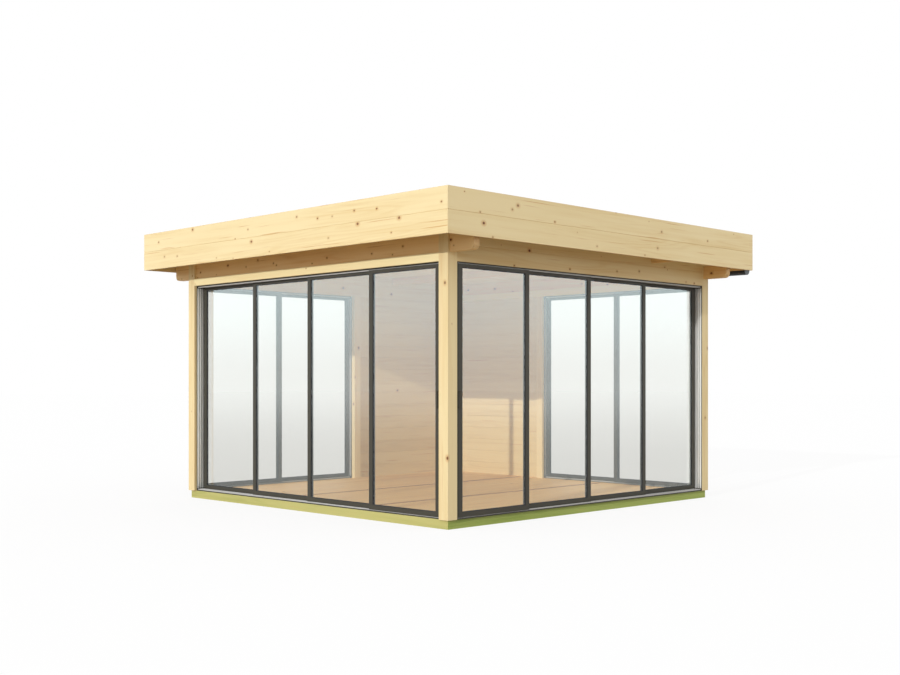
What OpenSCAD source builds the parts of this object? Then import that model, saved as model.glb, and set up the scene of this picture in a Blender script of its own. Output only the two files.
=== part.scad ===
// Timber garden cabin with a flat-looking pent roof, two walls of sliding glass doors,
// two rear walls that are half sliding glass and half logs, and a gutter at the back.
// Millimetres. The origin is on the ground at the middle of the plan, +Z is up,
// the front wall looks towards -Y and the right wall towards +X.

/* [Walls] */
// Outside width of the walls, along X
wall_w = 3500; // [3200:10:4000]
// Outside depth of the walls, along Y
wall_d = 3500; // [3200:10:4000]
// Side of the square corner posts
post_s = 98; // [90:1:120]
// Width of the post that ends each log wall
end_post_w = 80; // [60:1:110]
// Height of the door openings above the base
door_h = 1940; // [1800:5:2100]
// Width of the door openings in the left and back walls
rear_door_w = 1890; // [1500:2:2100]
// Height of the timber over the front and back openings
header_h = 66; // [40:1:120]

/* [Logs] */
// Thickness of a wall log
log_t = 44; // [34:1:60]
// Logs in the height of a log wall
log_count = 15; // [12:1:18]
// Setback of the log face from the face of the posts
log_setback = 5; // [0:1:12]
// Chamfer along the edges of a log
log_chamfer = 3; // [2:0.5:9]
// Width of the tongue on top of a log
tongue_w = 16; // [10:1:20]
// Height of the tongue on top of a log
tongue_h = 9; // [5:1:14]
// Depth of the grooves in the posts that take the log ends
log_groove = 15; // [8:1:20]

/* [Base and floor] */
// Height of the base beams
base_h = 70; // [55:1:120]
// Width of the base beams
base_w = 95; // [80:1:120]
// Setback of the base beams from the wall face
base_inset = 20; // [0:1:30]
// Thickness of the floor
floor_t = 28; // [18:1:35]
// Width of a floor joist
joist_w = 45; // [35:1:60]
// Number of floor joists, an odd number so that one lies in the middle
joist_count = 9; // [9:2:13]

/* [Roof] */
// Roof overhang beyond the walls on all sides
overhang = 300; // [270:5:400]
// Height of the fascias
fascia_h = 339; // [300:1:380]
// Thickness of the fascias
fascia_t = 20; // [16:1:28]
// Height of the fascia's lower edge above the underside of the top beams
fascia_lift = 86; // [60:1:120]
// Chamfer along the seam between the two boards of a fascia
seam_chamfer = 2; // [1:0.5:4]
// Fall of the roof towards the back, in degrees
roof_fall = 3; // [2:0.1:3.5]
// Height of the roof boards' rear edge above the fascia's lower edge
eave_lift = 18; // [14:1:30]
// Thickness of the roof boards
deck_t = 19; // [16:1:24]
// Thickness of the roofing sheet
felt_t = 4; // [2:0.5:6]
// Turn-down of the roofing sheet at the back edge
felt_drip = 30; // [24:1:34]

/* [Top beams and purlins] */
// Thickness of the front and back top beams
beam_t = 60; // [40:1:70]
// Length of a beam end past the wall face
stub_l = 250; // [150:5:260]
// Rounding of the lower corner of a top beam's end
stub_r = 45; // [20:1:60]
// Thickness of a purlin
purlin_t = 44; // [34:1:60]
// Depth of a purlin
purlin_h = 70; // [50:1:76]
// Rounding of the lower corner of a purlin's end
purlin_r = 25; // [10:1:40]
// Number of purlins between the top beams
purlin_count = 3; // [2:1:5]

/* [Gutter] */
// Outer radius of the half-round gutter
gutter_r = 44; // [38:1:50]
// Wall of the gutter
gutter_t = 2.5; // [1.5:0.5:4]
// Radius of the bead along the gutter's outer rim
bead_r = 4; // [3:0.5:5]
// Distance of the gutter's axis from the rear ends of the side fascias
gutter_back = 57; // [50:1:65]
// Gap between a gutter end and the fascia beside it
gutter_gap = 5; // [2:1:10]
// Thickness of a gutter bracket
bracket_t = 3; // [2:0.5:5]
// Width of a gutter bracket
bracket_w = 25; // [15:1:40]
// Height of a bracket's back plate above the rim
bracket_up = 15; // [8:1:17]
// Number of gutter brackets
bracket_count = 6; // [4:1:9]
// Height of the board behind the gutter
eave_board_h = 20; // [18:1:110]
// Thickness of the board behind the gutter
eave_board_t = 20; // [16:1:28]
// How far the roof boards reach over the gutter
eave_lip = 20; // [10:1:30]

/* [Sliding doors] */
// Distance between the running tracks
track_pitch = 23; // [22.5:0.5:26]
// Thickness of a sliding leaf
leaf_t = 17.5; // [16:0.5:17.5]
// Setback of the front and back door frames from the post face
deep_recess = 25; // [15:1:35]
// Setback of the left and right door frames from the post face
flush_recess = 3; // [0:1:10]
// Thickness of the sill and of the head
sill_t = 8; // [6:0.5:12]
// Width of the side jambs
jamb_w = 11; // [9:1:30]
// Width of a running rail
rail_w = 3; // [2:0.5:4]
// Height of a running rail
rail_h = 10; // [9:1:15]
// Width of the silver strips on the jambs
strip_w = 21; // [8:1:22]
// How far the silver strips stand proud of the jambs
strip_t = 1; // [0.5:0.5:2]
// Gap between a closed leaf and the silver strips
close_gap = 5; // [5:0.5:8]
// Gap between a leaf and the sill or head
leaf_gap = 6; // [5:0.5:7]
// Side clearance of a rail in the groove of a leaf
rail_gap = 1.5; // [1:0.5:2.5]
// Clearance above an upper rail's tip in the groove of a leaf
lift_gap = 5; // [3:1:8]
// Face width of a leaf's upright stiles
stile_w = 43; // [36:1:60]
// Height of a leaf's top rail
top_rail_h = 26; // [24:1:60]
// Height of a leaf's bottom rail
bottom_rail_h = 36; // [30:1:60]
// Overlap of neighbouring leaves in a four-leaf set
leaf_overlap = 30; // [20:1:70]
// Overlap of the leaves in a two-leaf set
rear_overlap = 44; // [20:1:70]
// How much narrower the first leaf of a four-leaf set is
lead_cut = 41; // [0:1:60]
// Thickness of the glass
glass_t = 6; // [4:1:8]
// How far the glass reaches into a leaf's frame
glass_bite = 9; // [6:1:12]

/* [Door pulls] */
// Length of a door pull
pull_l = 130; // [100:5:200]
// Width and thickness of a door pull's grip
pull_s = 8; // [6:1:12]
// Gap for the fingers behind a door pull
pull_gap = 14; // [12:1:24]
// Distance of a door pull's middle from the leading edge of its leaf
pull_inset = 12; // [8:1:30]
// Height of a door pull's middle above the ground
pull_z = 970; // [850:5:1100]

/* [Hidden] */
// Clearance where pieces are fitted together
fit = 0.3;
// Overshoot of a cut past the face that it opens
cut = 1;
front_leaf_count = 4;
rear_leaf_count = 2;
$fn = 64;

half_w = wall_w / 2;
half_d = wall_d / 2;
front_w = wall_w - 2 * post_s;
side_w = wall_d - 2 * post_s;
roof_half_w = half_w + overhang;
roof_half_d = half_d + overhang;
roof_in_w = roof_half_w - fascia_t;
roof_front = -roof_half_d + fascia_t;

door_top = base_h + door_h;
beam_z = door_top + header_h;
fascia_z = beam_z + fascia_lift;
fascia_top = fascia_z + fascia_h;
log_pitch = door_h / log_count;

gutter_y = roof_half_d - gutter_back;
eave_face = gutter_y - gutter_r - fit - bracket_t;
deck_end = eave_face + eave_lip;
eave_z = fascia_z + eave_lift;
beam_y = half_d - post_s / 2;

base_in_w = half_w - base_inset - base_w;
base_in_d = half_d - base_inset - base_w;

frame_top = door_top - fit;
head_z = frame_top - sill_t;
sill_top = base_h + sill_t;
leaf_z0 = sill_top + leaf_gap;
leaf_z1 = head_z - leaf_gap;
side_gap = strip_t + close_gap;

// Height of the roof boards' underside at a distance y from the middle
function roof_z(y) = eave_z + (deck_end - y) * tan(roof_fall);

// Clear width between the closed edges of a set's outer leaves
function run_w(open_w) = open_w - 2 * (jamb_w + side_gap);
// How much the first leaf of a set is cut down
function lead(n) = n == front_leaf_count ? lead_cut : 0;
// Overlap of neighbouring leaves in a set of n leaves
function overlap(n) = n == front_leaf_count ? leaf_overlap : rear_overlap;
// Width of a full leaf in a set of n leaves
function full_leaf(n, open_w) = (run_w(open_w) + (n - 1) * overlap(n) + lead(n)) / n;
// Width of leaf i, counted from the set's leading end
function leaf_w(n, open_w, i) = full_leaf(n, open_w) - (i == 0 ? lead(n) : 0);
// Distance of leaf i's leading edge from the opening's leading end
function leaf_u(n, open_w, i) = jamb_w + side_gap
    + (i == 0 ? 0 : i * (full_leaf(n, open_w) - overlap(n)) - lead(n));
// Track of leaf i: the first leaf runs outermost in a four-leaf set and inside in a two-leaf set
function lane(n, i) = n == front_leaf_count ? i : n - 1 - i;
// Depth of the middle of a track behind the post face
function track_v(recess, track) = recess + (track + 0.5) * track_pitch;
// Place of purlin i along Y
function purlin_y(i) = -beam_y + 2 * beam_y * (i + 1) / (purlin_count + 1);

// Helpers that place outlines and walls

// Extrudes an outline drawn in Y and Z along X
module along_x(x0, x1) {
    translate([x0, 0, 0]) rotate([90, 0, 90]) linear_extrude(x1 - x0) children();
}

// Extrudes an outline drawn in X and Z along Y
module along_y(y0, y1) {
    translate([0, y1, 0]) rotate([90, 0, 0]) linear_extrude(y1 - y0) children();
}

// A block from z0 up to just under the roof boards
module block_under_roof(x0, x1, y0, y1, z0) {
    along_x(x0, x1) polygon([[y0, z0], [y1, z0], [y1, roof_z(y1) - fit], [y0, roof_z(y0) - fit]]);
}

// Wall frames: x runs along the opening, y goes inwards from the post face
module on_front() {
    translate([half_w - post_s, -half_d, 0]) mirror([1, 0, 0]) children();
}
module on_right() {
    translate([half_w, -half_d + post_s, 0]) rotate([0, 0, 90]) children();
}
module on_left() {
    translate([-half_w, -half_d + post_s, 0]) mirror([1, -1, 0]) children();
}
module on_back() {
    translate([half_w - post_s, half_d, 0]) rotate([0, 0, 180]) children();
}

// Base and floor

module base_beams() {
    out_w = half_w - base_inset;
    out_d = half_d - base_inset;
    color("darkkhaki") {
        for (y = [-out_d, out_d - base_w])
            translate([-out_w, y, 0]) cube([2 * out_w, base_w, base_h]);
        for (x = [-out_w, out_w - base_w])
            translate([x, -base_in_d + fit, 0]) cube([base_w, 2 * (base_in_d - fit), base_h]);
    }
}

module floor_joists() {
    run = 2 * (base_in_d - fit) - joist_w;
    color("tan") for (i = [0 : joist_count - 1])
        translate([-base_in_w + fit, -base_in_d + fit + run * i / (joist_count - 1), 0])
            cube([2 * (base_in_w - fit), joist_w, base_h - floor_t]);
}

module floor_slab() {
    color("burlywood") translate([-base_in_w + fit, -base_in_d + fit, base_h - floor_t])
        cube([2 * (base_in_w - fit), 2 * (base_in_d - fit), floor_t]);
}

// Posts

// Corner post with a forked top that takes the top beam
module corner_post(side_x, side_y) {
    x0 = side_x > 0 ? half_w - post_s : -half_w;
    y0 = side_y > 0 ? half_d - post_s : -half_d;
    slot_y = side_y * beam_y - beam_t / 2 - fit;
    color("burlywood") difference() {
        block_under_roof(x0, x0 + post_s, y0, y0 + post_s, base_h);
        translate([x0 - cut, slot_y, beam_z])
            cube([post_s + 2 * cut, beam_t + 2 * fit, roof_z(y0) - beam_z + cut]);
    }
}

// Groove for the log ends, cut from u towards +u in a wall's own frame
module end_groove(u) {
    translate([u, log_setback - fit, base_h - cut])
        cube([log_groove + cut, log_t + 2 * fit, door_h + cut]);
}

module back_left_post() {
    difference() {
        corner_post(-1, 1);
        on_left() end_groove(side_w - cut);
        on_back() end_groove(front_w - cut);
    }
}

// Post between a rear door opening and the logs, in the wall's own frame
module end_post() {
    color("burlywood") difference() {
        translate([rear_door_w, 0, base_h]) cube([end_post_w, post_s, door_h - fit]);
        end_groove(rear_door_w + end_post_w - log_groove);
    }
}

// Log walls

// Section of log k: chamfered faces, a tongue on top and a groove below
module log_section(k) {
    bottom = base_h + k * log_pitch + (k == 0 ? 0 : fit);
    top = base_h + (k + 1) * log_pitch - (k == log_count - 1 ? fit : 0);
    mid = log_setback + log_t / 2;
    difference() {
        union() {
            polygon([
                [log_setback + log_chamfer, bottom], [log_setback + log_t - log_chamfer, bottom],
                [log_setback + log_t, bottom + log_chamfer], [log_setback + log_t, top - log_chamfer],
                [log_setback + log_t - log_chamfer, top], [log_setback + log_chamfer, top],
                [log_setback, top - log_chamfer], [log_setback, bottom + log_chamfer]
            ]);
            if (k < log_count - 1)
                translate([mid - tongue_w / 2, top - cut]) square([tongue_w, tongue_h + cut]);
        }
        if (k > 0)
            translate([mid - tongue_w / 2 - fit, bottom - cut])
                square([tongue_w + 2 * fit, tongue_h + cut]);
    }
}

// Stack of logs from the end post to the far corner post, in the wall's own frame
module log_wall(open_w) {
    u0 = rear_door_w + end_post_w - log_groove + fit;
    u1 = open_w + log_groove - fit;
    color("wheat") for (k = [0 : log_count - 1]) along_x(u0, u1) log_section(k);
}

// Timber over the openings

module header(side_y) {
    y0 = side_y > 0 ? half_d - post_s : -half_d;
    color("wheat") translate([-front_w / 2 + fit, y0, door_top])
        cube([front_w - 2 * fit, post_s, header_h]);
}

// Side wall over the doors, up to the sloping roof, with the log joints as grooves
module gable(side_x) {
    x0 = side_x > 0 ? half_w - log_t : -half_w;
    y0 = -side_w / 2 + fit;
    joints = floor((roof_z(y0) - door_top - 2 * log_chamfer) / log_pitch);
    color("wheat") difference() {
        block_under_roof(x0, x0 + log_t, y0, -y0, door_top);
        for (k = [1 : joints], x = [x0, x0 + log_t])
            along_y(y0 - cut, -y0 + cut) translate([x, door_top + k * log_pitch]) rotate(45)
                square(log_chamfer * sqrt(2), center = true);
        for (i = [0 : purlin_count - 1])
            translate([x0 - cut, purlin_y(i) - purlin_t / 2 - fit, purlin_z(i) - fit])
                cube([log_t + 2 * cut, purlin_t + 2 * fit, 2 * purlin_h]);
    }
}

// Beam along X under the roof boards, with rounded lower corners at its ends
module roof_beam(y, t, z0, r) {
    end = half_w + stub_l;
    top = roof_z(y - t / 2);
    intersection() {
        block_under_roof(-end, end, y - t / 2, y + t / 2, z0);
        along_y(y - t, y + t) {
            translate([-end + r, z0]) square([2 * (end - r), top - z0]);
            translate([-end, z0 + r]) square([2 * end, top - z0 - r]);
            for (x = [-end + r, end - r]) translate([x, z0 + r]) circle(r);
        }
    }
}

module top_beam(side_y) {
    color("wheat") roof_beam(side_y * beam_y, beam_t, beam_z, stub_r);
}

// Height of purlin i's underside
function purlin_z(i) = roof_z(purlin_y(i) + purlin_t / 2) - purlin_h;

module purlins() {
    color("wheat") for (i = [0 : purlin_count - 1])
        roof_beam(purlin_y(i), purlin_t, purlin_z(i), purlin_r);
}

// Roof

module roof_boards() {
    color("burlywood") along_x(-roof_in_w, roof_in_w) polygon([
        [roof_front, roof_z(roof_front)], [deck_end, eave_z],
        [deck_end, eave_z + deck_t], [roof_front, roof_z(roof_front) + deck_t]
    ]);
}

// Roofing sheet: over the boards, down the back edge and up the inner faces of the fascias
module roofing() {
    low = roof_z(roof_front) + deck_t;
    edge = eave_z + deck_t;
    color("dimgray") {
        along_x(-roof_in_w, roof_in_w) polygon([
            [roof_front, low], [deck_end, edge], [deck_end, edge + felt_t - felt_drip],
            [deck_end + felt_t, edge + felt_t - felt_drip], [deck_end + felt_t, edge + felt_t],
            [deck_end, edge + felt_t], [roof_front, low + felt_t]
        ]);
        translate([-roof_in_w, roof_front, low]) cube([2 * roof_in_w, felt_t, fascia_top - low]);
        for (x = [-roof_in_w, roof_in_w - felt_t])
            along_x(x, x + felt_t) polygon([
                [roof_front, low], [deck_end, edge],
                [deck_end, fascia_top], [roof_front, fascia_top]
            ]);
    }
}

// Section of a fascia: two boards with a chamfered seam on the outer face
module fascia_section() {
    board_h = (fascia_h - fit) / 2;
    for (upper = [0, 1]) translate([0, fascia_z + upper * (board_h + fit)])
        difference() {
            square([fascia_t, board_h]);
            translate([0, upper ? 0 : board_h]) rotate(45)
                square(seam_chamfer * sqrt(2), center = true);
        }
}

// Keeps what lies over an outline of the plan, at the height of the fascias
module over_plan(points) {
    intersection() {
        children();
        translate([0, 0, fascia_z]) linear_extrude(fascia_h) polygon(points);
    }
}

// The fascias meet in mitres at the two front corners
module front_fascia() {
    color("navajowhite") over_plan([
        [-roof_half_w, -roof_half_d], [roof_half_w, -roof_half_d],
        [roof_in_w, roof_front], [-roof_in_w, roof_front]
    ])
        translate([0, -roof_half_d, 0]) along_x(-roof_half_w, roof_half_w) fascia_section();
}

module side_fascia(side_x) {
    color("navajowhite") mirror([side_x > 0 ? 1 : 0, 0, 0]) over_plan([
        [-roof_half_w, -roof_half_d + fit], [-roof_in_w, roof_front + fit],
        [-roof_in_w, roof_half_d], [-roof_half_w, roof_half_d]
    ])
        translate([-roof_half_w, 0, 0]) along_y(-roof_half_d, roof_half_d) fascia_section();
}

// Gutter at the back

module eave_board() {
    color("wheat") block_under_roof(-roof_in_w, roof_in_w, eave_face - eave_board_t, eave_face,
                                    eave_z - eave_board_h);
}

// Lower half of a ring about the gutter's axis, in Y and Z
module trough_section(r_out, r_in) {
    difference() {
        translate([gutter_y, fascia_z]) circle(r_out);
        translate([gutter_y, fascia_z]) circle(r_in);
        translate([gutter_y - 2 * r_out, fascia_z]) square([4 * r_out, 2 * r_out]);
    }
}

module gutter() {
    end = roof_in_w - gutter_gap;
    color("#2b2b2d") {
        along_x(-end, end) {
            trough_section(gutter_r, gutter_r - gutter_t);
            translate([gutter_y + gutter_r - bead_r, fascia_z]) circle(bead_r);
        }
        for (x = [-end, end - gutter_t]) along_x(x, x + gutter_t) trough_section(gutter_r, 0);
    }
}

module gutter_brackets() {
    run = 2 * roof_in_w - 2 * overhang;
    ring = gutter_r + fit + bracket_t;
    color("#2b2b2d") for (i = [0 : bracket_count - 1]) {
        x = -run / 2 + run * i / (bracket_count - 1);
        along_x(x - bracket_w / 2, x + bracket_w / 2) {
            trough_section(ring, gutter_r + fit);
            translate([eave_face, fascia_z]) square([bracket_t, bracket_up]);
        }
    }
}

// Sliding door sets, in the wall's own frame

// Sill, head and jambs for n tracks
module door_frame(n, open_w, recess) {
    color("#44484c") difference() {
        translate([fit, recess, base_h]) cube([open_w - 2 * fit, n * track_pitch, frame_top - base_h]);
        translate([jamb_w, recess - cut, sill_top])
            cube([open_w - 2 * jamb_w, n * track_pitch + 2 * cut, head_z - sill_top]);
    }
}

// Running rails on the sill and head, and the silver strips on the jambs
module rails(n, open_w, recess) {
    for (i = [0 : n - 1]) {
        v = track_v(recess, i);
        for (z = [sill_top, head_z - rail_h])
            translate([jamb_w, v - rail_w / 2, z]) cube([open_w - 2 * jamb_w, rail_w, rail_h]);
        for (u = [jamb_w, open_w - jamb_w - strip_t])
            translate([u, v - strip_w / 2, sill_top + rail_h + leaf_gap])
                cube([strip_t, strip_w, head_z - sill_top - 2 * (rail_h + leaf_gap)]);
    }
}

module running_rails() {
    color("silver") {
        on_front() rails(front_leaf_count, front_w, deep_recess);
        on_right() rails(front_leaf_count, side_w, flush_recess);
        on_left() rails(rear_leaf_count, rear_door_w, flush_recess);
        on_back() rails(rear_leaf_count, rear_door_w, deep_recess);
    }
}

// Upright pull that stands off a face at v, towards -v or, with way 1, towards +v
module pull(u, v, way) {
    reach = pull_gap + pull_s;
    translate([u, v, pull_z]) scale([1, way, 1]) {
        translate([-pull_s / 2, pull_gap, -pull_l / 2]) cube([pull_s, pull_s, pull_l]);
        for (z = [-pull_l / 2, pull_l / 2 - pull_s])
            translate([-pull_s / 2, 0, z]) cube([pull_s, reach, pull_s]);
    }
}

// Frame of leaf i: stiles and rails round the glass, grooved for the glass and the rails
module leaf(n, open_w, recess, i) {
    u = leaf_u(n, open_w, i);
    w = leaf_w(n, open_w, i);
    v = track_v(recess, lane(n, i));
    pull_way = n == front_leaf_count ? -1 : 1;
    groove_w = rail_w + 2 * rail_gap;
    bottom_groove = rail_h - leaf_gap + fit;
    top_groove = rail_h - leaf_gap + lift_gap;
    color("#44484c") {
        difference() {
            translate([u, v - leaf_t / 2, leaf_z0]) cube([w, leaf_t, leaf_z1 - leaf_z0]);
            translate([u + stile_w, v - leaf_t, leaf_z0 + bottom_rail_h])
                cube([w - 2 * stile_w, 2 * leaf_t,
                      leaf_z1 - leaf_z0 - bottom_rail_h - top_rail_h]);
            pane(n, open_w, recess, i, fit);
            translate([u - cut, v - groove_w / 2, leaf_z0 - cut])
                cube([w + 2 * cut, groove_w, bottom_groove + cut]);
            translate([u - cut, v - groove_w / 2, leaf_z1 - top_groove])
                cube([w + 2 * cut, groove_w, top_groove + cut]);
        }
        if (i == 0) pull(u + pull_inset, v + pull_way * leaf_t / 2, pull_way);
    }
}

// Glass of leaf i, grown by a clearance to cut its groove
module pane(n, open_w, recess, i, grow = 0) {
    u = leaf_u(n, open_w, i) + stile_w - glass_bite - grow;
    w = leaf_w(n, open_w, i) - 2 * (stile_w - glass_bite - grow);
    z0 = leaf_z0 + bottom_rail_h - glass_bite - grow;
    z1 = leaf_z1 - top_rail_h + glass_bite + grow;
    translate([u, track_v(recess, lane(n, i)) - glass_t / 2 - grow, z0])
        cube([w, glass_t + 2 * grow, z1 - z0]);
}

module front_door_frame() { on_front() door_frame(front_leaf_count, front_w, deep_recess); }
module right_door_frame() { on_right() door_frame(front_leaf_count, side_w, flush_recess); }
module left_door_frame() { on_left() door_frame(rear_leaf_count, rear_door_w, flush_recess); }
module back_door_frame() { on_back() door_frame(rear_leaf_count, rear_door_w, deep_recess); }

module front_leaf(i) { on_front() leaf(front_leaf_count, front_w, deep_recess, i); }
module right_leaf(i) { on_right() leaf(front_leaf_count, side_w, flush_recess, i); }
module left_leaf(i) { on_left() leaf(rear_leaf_count, rear_door_w, flush_recess, i); }
module back_leaf(i) { on_back() leaf(rear_leaf_count, rear_door_w, deep_recess, i); }

module clear_glass() { color("lightcyan", 0.4) children(); }
module front_pane(i) { clear_glass() on_front() pane(front_leaf_count, front_w, deep_recess, i); }
module right_pane(i) { clear_glass() on_right() pane(front_leaf_count, side_w, flush_recess, i); }
module left_pane(i) { clear_glass() on_left() pane(rear_leaf_count, rear_door_w, flush_recess, i); }
module back_pane(i) { clear_glass() on_back() pane(rear_leaf_count, rear_door_w, deep_recess, i); }

module fixed_glass() {
    front_pane(front_leaf_count - 1);
    right_pane(front_leaf_count - 1);
    left_pane(rear_leaf_count - 1);
    back_pane(rear_leaf_count - 1);
}

// The assembly

base_beams();
floor_joists();
floor_slab();  // floor
corner_post(-1, -1);  // front_left_post
corner_post(1, -1);  // front_right_post
back_left_post();
corner_post(1, 1);  // back_right_post
on_left() end_post();  // left_end_post
on_back() end_post();  // back_end_post
on_left() log_wall(side_w);  // left_log_wall
on_back() log_wall(front_w);  // back_log_wall
header(-1);  // front_header
header(1);  // back_header
gable(-1);  // left_gable
gable(1);  // right_gable
top_beam(-1);  // front_top_beam
top_beam(1);  // back_top_beam
purlins();
roof_boards();
roofing();
front_fascia();
side_fascia(-1);  // left_fascia
side_fascia(1);  // right_fascia
eave_board();
gutter();
gutter_brackets();
front_door_frame();
right_door_frame();
left_door_frame();
back_door_frame();
running_rails();
front_leaf(0);  // front_leaf_1
front_leaf(1);  // front_leaf_2
front_leaf(2);  // front_leaf_3
front_leaf(3);  // front_leaf_fixed
right_leaf(0);  // right_leaf_1
right_leaf(1);  // right_leaf_2
right_leaf(2);  // right_leaf_3
right_leaf(3);  // right_leaf_fixed
left_leaf(0);
left_leaf(1);  // left_leaf_fixed
back_leaf(0);
back_leaf(1);  // back_leaf_fixed
front_pane(0);  // front_glass_1
front_pane(1);  // front_glass_2
front_pane(2);  // front_glass_3
right_pane(0);  // right_glass_1
right_pane(1);  // right_glass_2
right_pane(2);  // right_glass_3
left_pane(0);  // left_glass
back_pane(0);  // back_glass
fixed_glass();
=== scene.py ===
"""Looks of the timber garden cabin: its finishes, boards, trim, seals, brushes, roof laps and studio.

Laid out as an add-on: each piece or finish is an operator, and the sizes and colours that a
user would change are properties. Metres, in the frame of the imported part.
"""

import math

import bmesh
import bpy
from bpy.props import FloatProperty, FloatVectorProperty, IntProperty, PointerProperty
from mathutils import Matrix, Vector


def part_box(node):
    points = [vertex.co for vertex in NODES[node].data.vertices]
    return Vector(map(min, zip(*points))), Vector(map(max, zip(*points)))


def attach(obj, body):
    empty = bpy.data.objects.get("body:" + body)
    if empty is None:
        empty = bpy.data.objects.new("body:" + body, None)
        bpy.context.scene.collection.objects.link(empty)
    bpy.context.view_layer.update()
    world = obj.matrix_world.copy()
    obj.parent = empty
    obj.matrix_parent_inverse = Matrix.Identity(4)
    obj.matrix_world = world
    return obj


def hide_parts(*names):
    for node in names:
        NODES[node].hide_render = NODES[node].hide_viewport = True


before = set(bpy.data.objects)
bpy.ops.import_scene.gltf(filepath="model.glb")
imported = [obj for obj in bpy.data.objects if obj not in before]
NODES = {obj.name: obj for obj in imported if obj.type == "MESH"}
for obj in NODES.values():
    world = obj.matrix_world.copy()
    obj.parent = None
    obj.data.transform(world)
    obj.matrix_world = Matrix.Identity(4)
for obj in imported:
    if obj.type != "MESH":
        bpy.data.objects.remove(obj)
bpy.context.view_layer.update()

bl_info = {
    "name": "Garden cabin",
    "version": (1, 0, 0),
    "blender": (4, 5, 0),
    "location": "View3D > Sidebar > Cabin",
    "description": "Finishes, boards, trim, seals and studio of a timber garden cabin",
    "category": "Object",
}

AXES = ("X", "Y", "Z")

# Turns that a wave texture makes in a unit of length, in radians
WAVE_TURN = 20

# Grain of planed wood: how often each pattern repeats in a metre along and across the fibres
FIBRE = (2.2, 150.0)
STROKE = (0.9, 24.0)
DRIFT = (0.6, 4.0)
GROWTH = (0.45, 7.0)
RESIN = (1.3, 55.0)

# Contour lines that the growth pattern is cut into
GROWTH_LINES = 70.0

# What each part of the grain, and the difference between two boards, adds to the tone of the wood
LATE_TONE = 0.13
STROKE_TONE = 0.7
FIBRE_TONE = 0.14
DRIFT_TONE = 0.5
BOARD_TONE = 0.16

# Tone at which the wood is all early and all late
TONE_RANGE = (0.5, 1.2)

# Values of the resin pattern where a streak starts and is full, and the strength of a full one
RESIN_RANGE = (0.64, 0.75)
RESIN_SHARE = 0.75

# Most that the figures of two boards lie apart along and across the grain
BOARD_SHIFT = (9.0, 3.0)

# Knots, in shares of their spacing: least radius, what the largest adds and how ragged they are
KNOT_LEAST = 0.014
KNOT_MORE = 0.03
KNOT_RAGGED = 0.008

# Places for a knot along the grain for each one across, and how rare the large ones are
KNOT_STRETCH = 0.8
KNOT_RARITY = 1.6

# Strength of the faintest knot and of a rim, and the radii between which heart and rim fade
KNOT_FAINT = 0.45
KNOT_RIM = 0.6
HEART_FADE = (0.75, 1.15)
RIM_FADE = (1.0, 3.0)

# Brightness of the lighter and darker places of a finish beside its own colour
COAT_LIGHT = 1.22
RAIL_DULL = 0.92
RAIL_ENDS_DARK = 0.55
CHIP_PALE = 1.9
CHIP_DARK = 0.6
DUST_PALE = 1.7
STRIP_LATE = 0.7

# Light that dust gives back by itself, and how much it changes the roughness
DUST_GLEAM = 0.006
DUST_ROUGH = 0.08

# How metallic the bare jambs are beside the darker rails at sill and head
JAMB_METAL = 0.65

# Power by which a pane mirrors more at a glancing angle
GLANCING = 5.0

# Repeats in a metre of the fine textures, and how many times as long as wide a die line is
ORANGE_PEEL = 900.0
FELT_CHIPS = 420.0
PLASTIC_GRAIN = 700.0
DIE_LINES = 300.0
DIE_DRAW = 100.0

# Parts of a unit normal or edge that count as side on, end on and mainly along an axis
SIDE_ON = 0.5
END_ON = 0.7
MAINLY = 0.9

# Reach for points that lie on an end of the part, in metres
CLOSE = 0.001

# Part of a lap's height that its bevel takes
LAP_BEVEL = 0.8

# The four door sets, and the leaves that slide
SIDES = ("front", "right", "left", "back")
SLIDING = ("front_leaf_1", "front_leaf_2", "front_leaf_3",
           "right_leaf_1", "right_leaf_2", "right_leaf_3", "left_leaf", "back_leaf")

# Every leaf with the glass that it holds and the body that it moves with
PANES = {leaf: (leaf.replace("leaf", "glass"), leaf) for leaf in SLIDING}
PANES.update({side + "_leaf_fixed": ("fixed_glass", "root") for side in SIDES})


def srgb(red, green, blue):
    """A colour given as screen values from 0 to 255, in linear light."""
    def linear(value):
        share = value / 255
        return share / 12.92 if share <= 0.04045 else ((share + 0.055) / 1.055) ** 2.4
    return linear(red), linear(green), linear(blue)


def colour(name, description, default):
    """A colour property whose default is given in linear light."""
    return FloatVectorProperty(name=name, description=description, default=default,
                               subtype="COLOR", size=3, min=0, max=1)


def length(name, description, default):
    """A length property in metres."""
    return FloatProperty(name=name, description=description, default=default, min=0,
                         subtype="DISTANCE", unit="LENGTH")


def angle(name, description, degrees):
    """An angle property whose default is given in degrees."""
    return FloatProperty(name=name, description=description, default=math.radians(degrees),
                         subtype="ANGLE", unit="ROTATION")


def fraction(name, description, default):
    """A property from 0 to 1."""
    return FloatProperty(name=name, description=description, default=default, min=0, max=1,
                         subtype="FACTOR")


def brightness(name, description, default):
    """A property for the strength of a light."""
    return FloatProperty(name=name, description=description, default=default, min=0)


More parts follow.
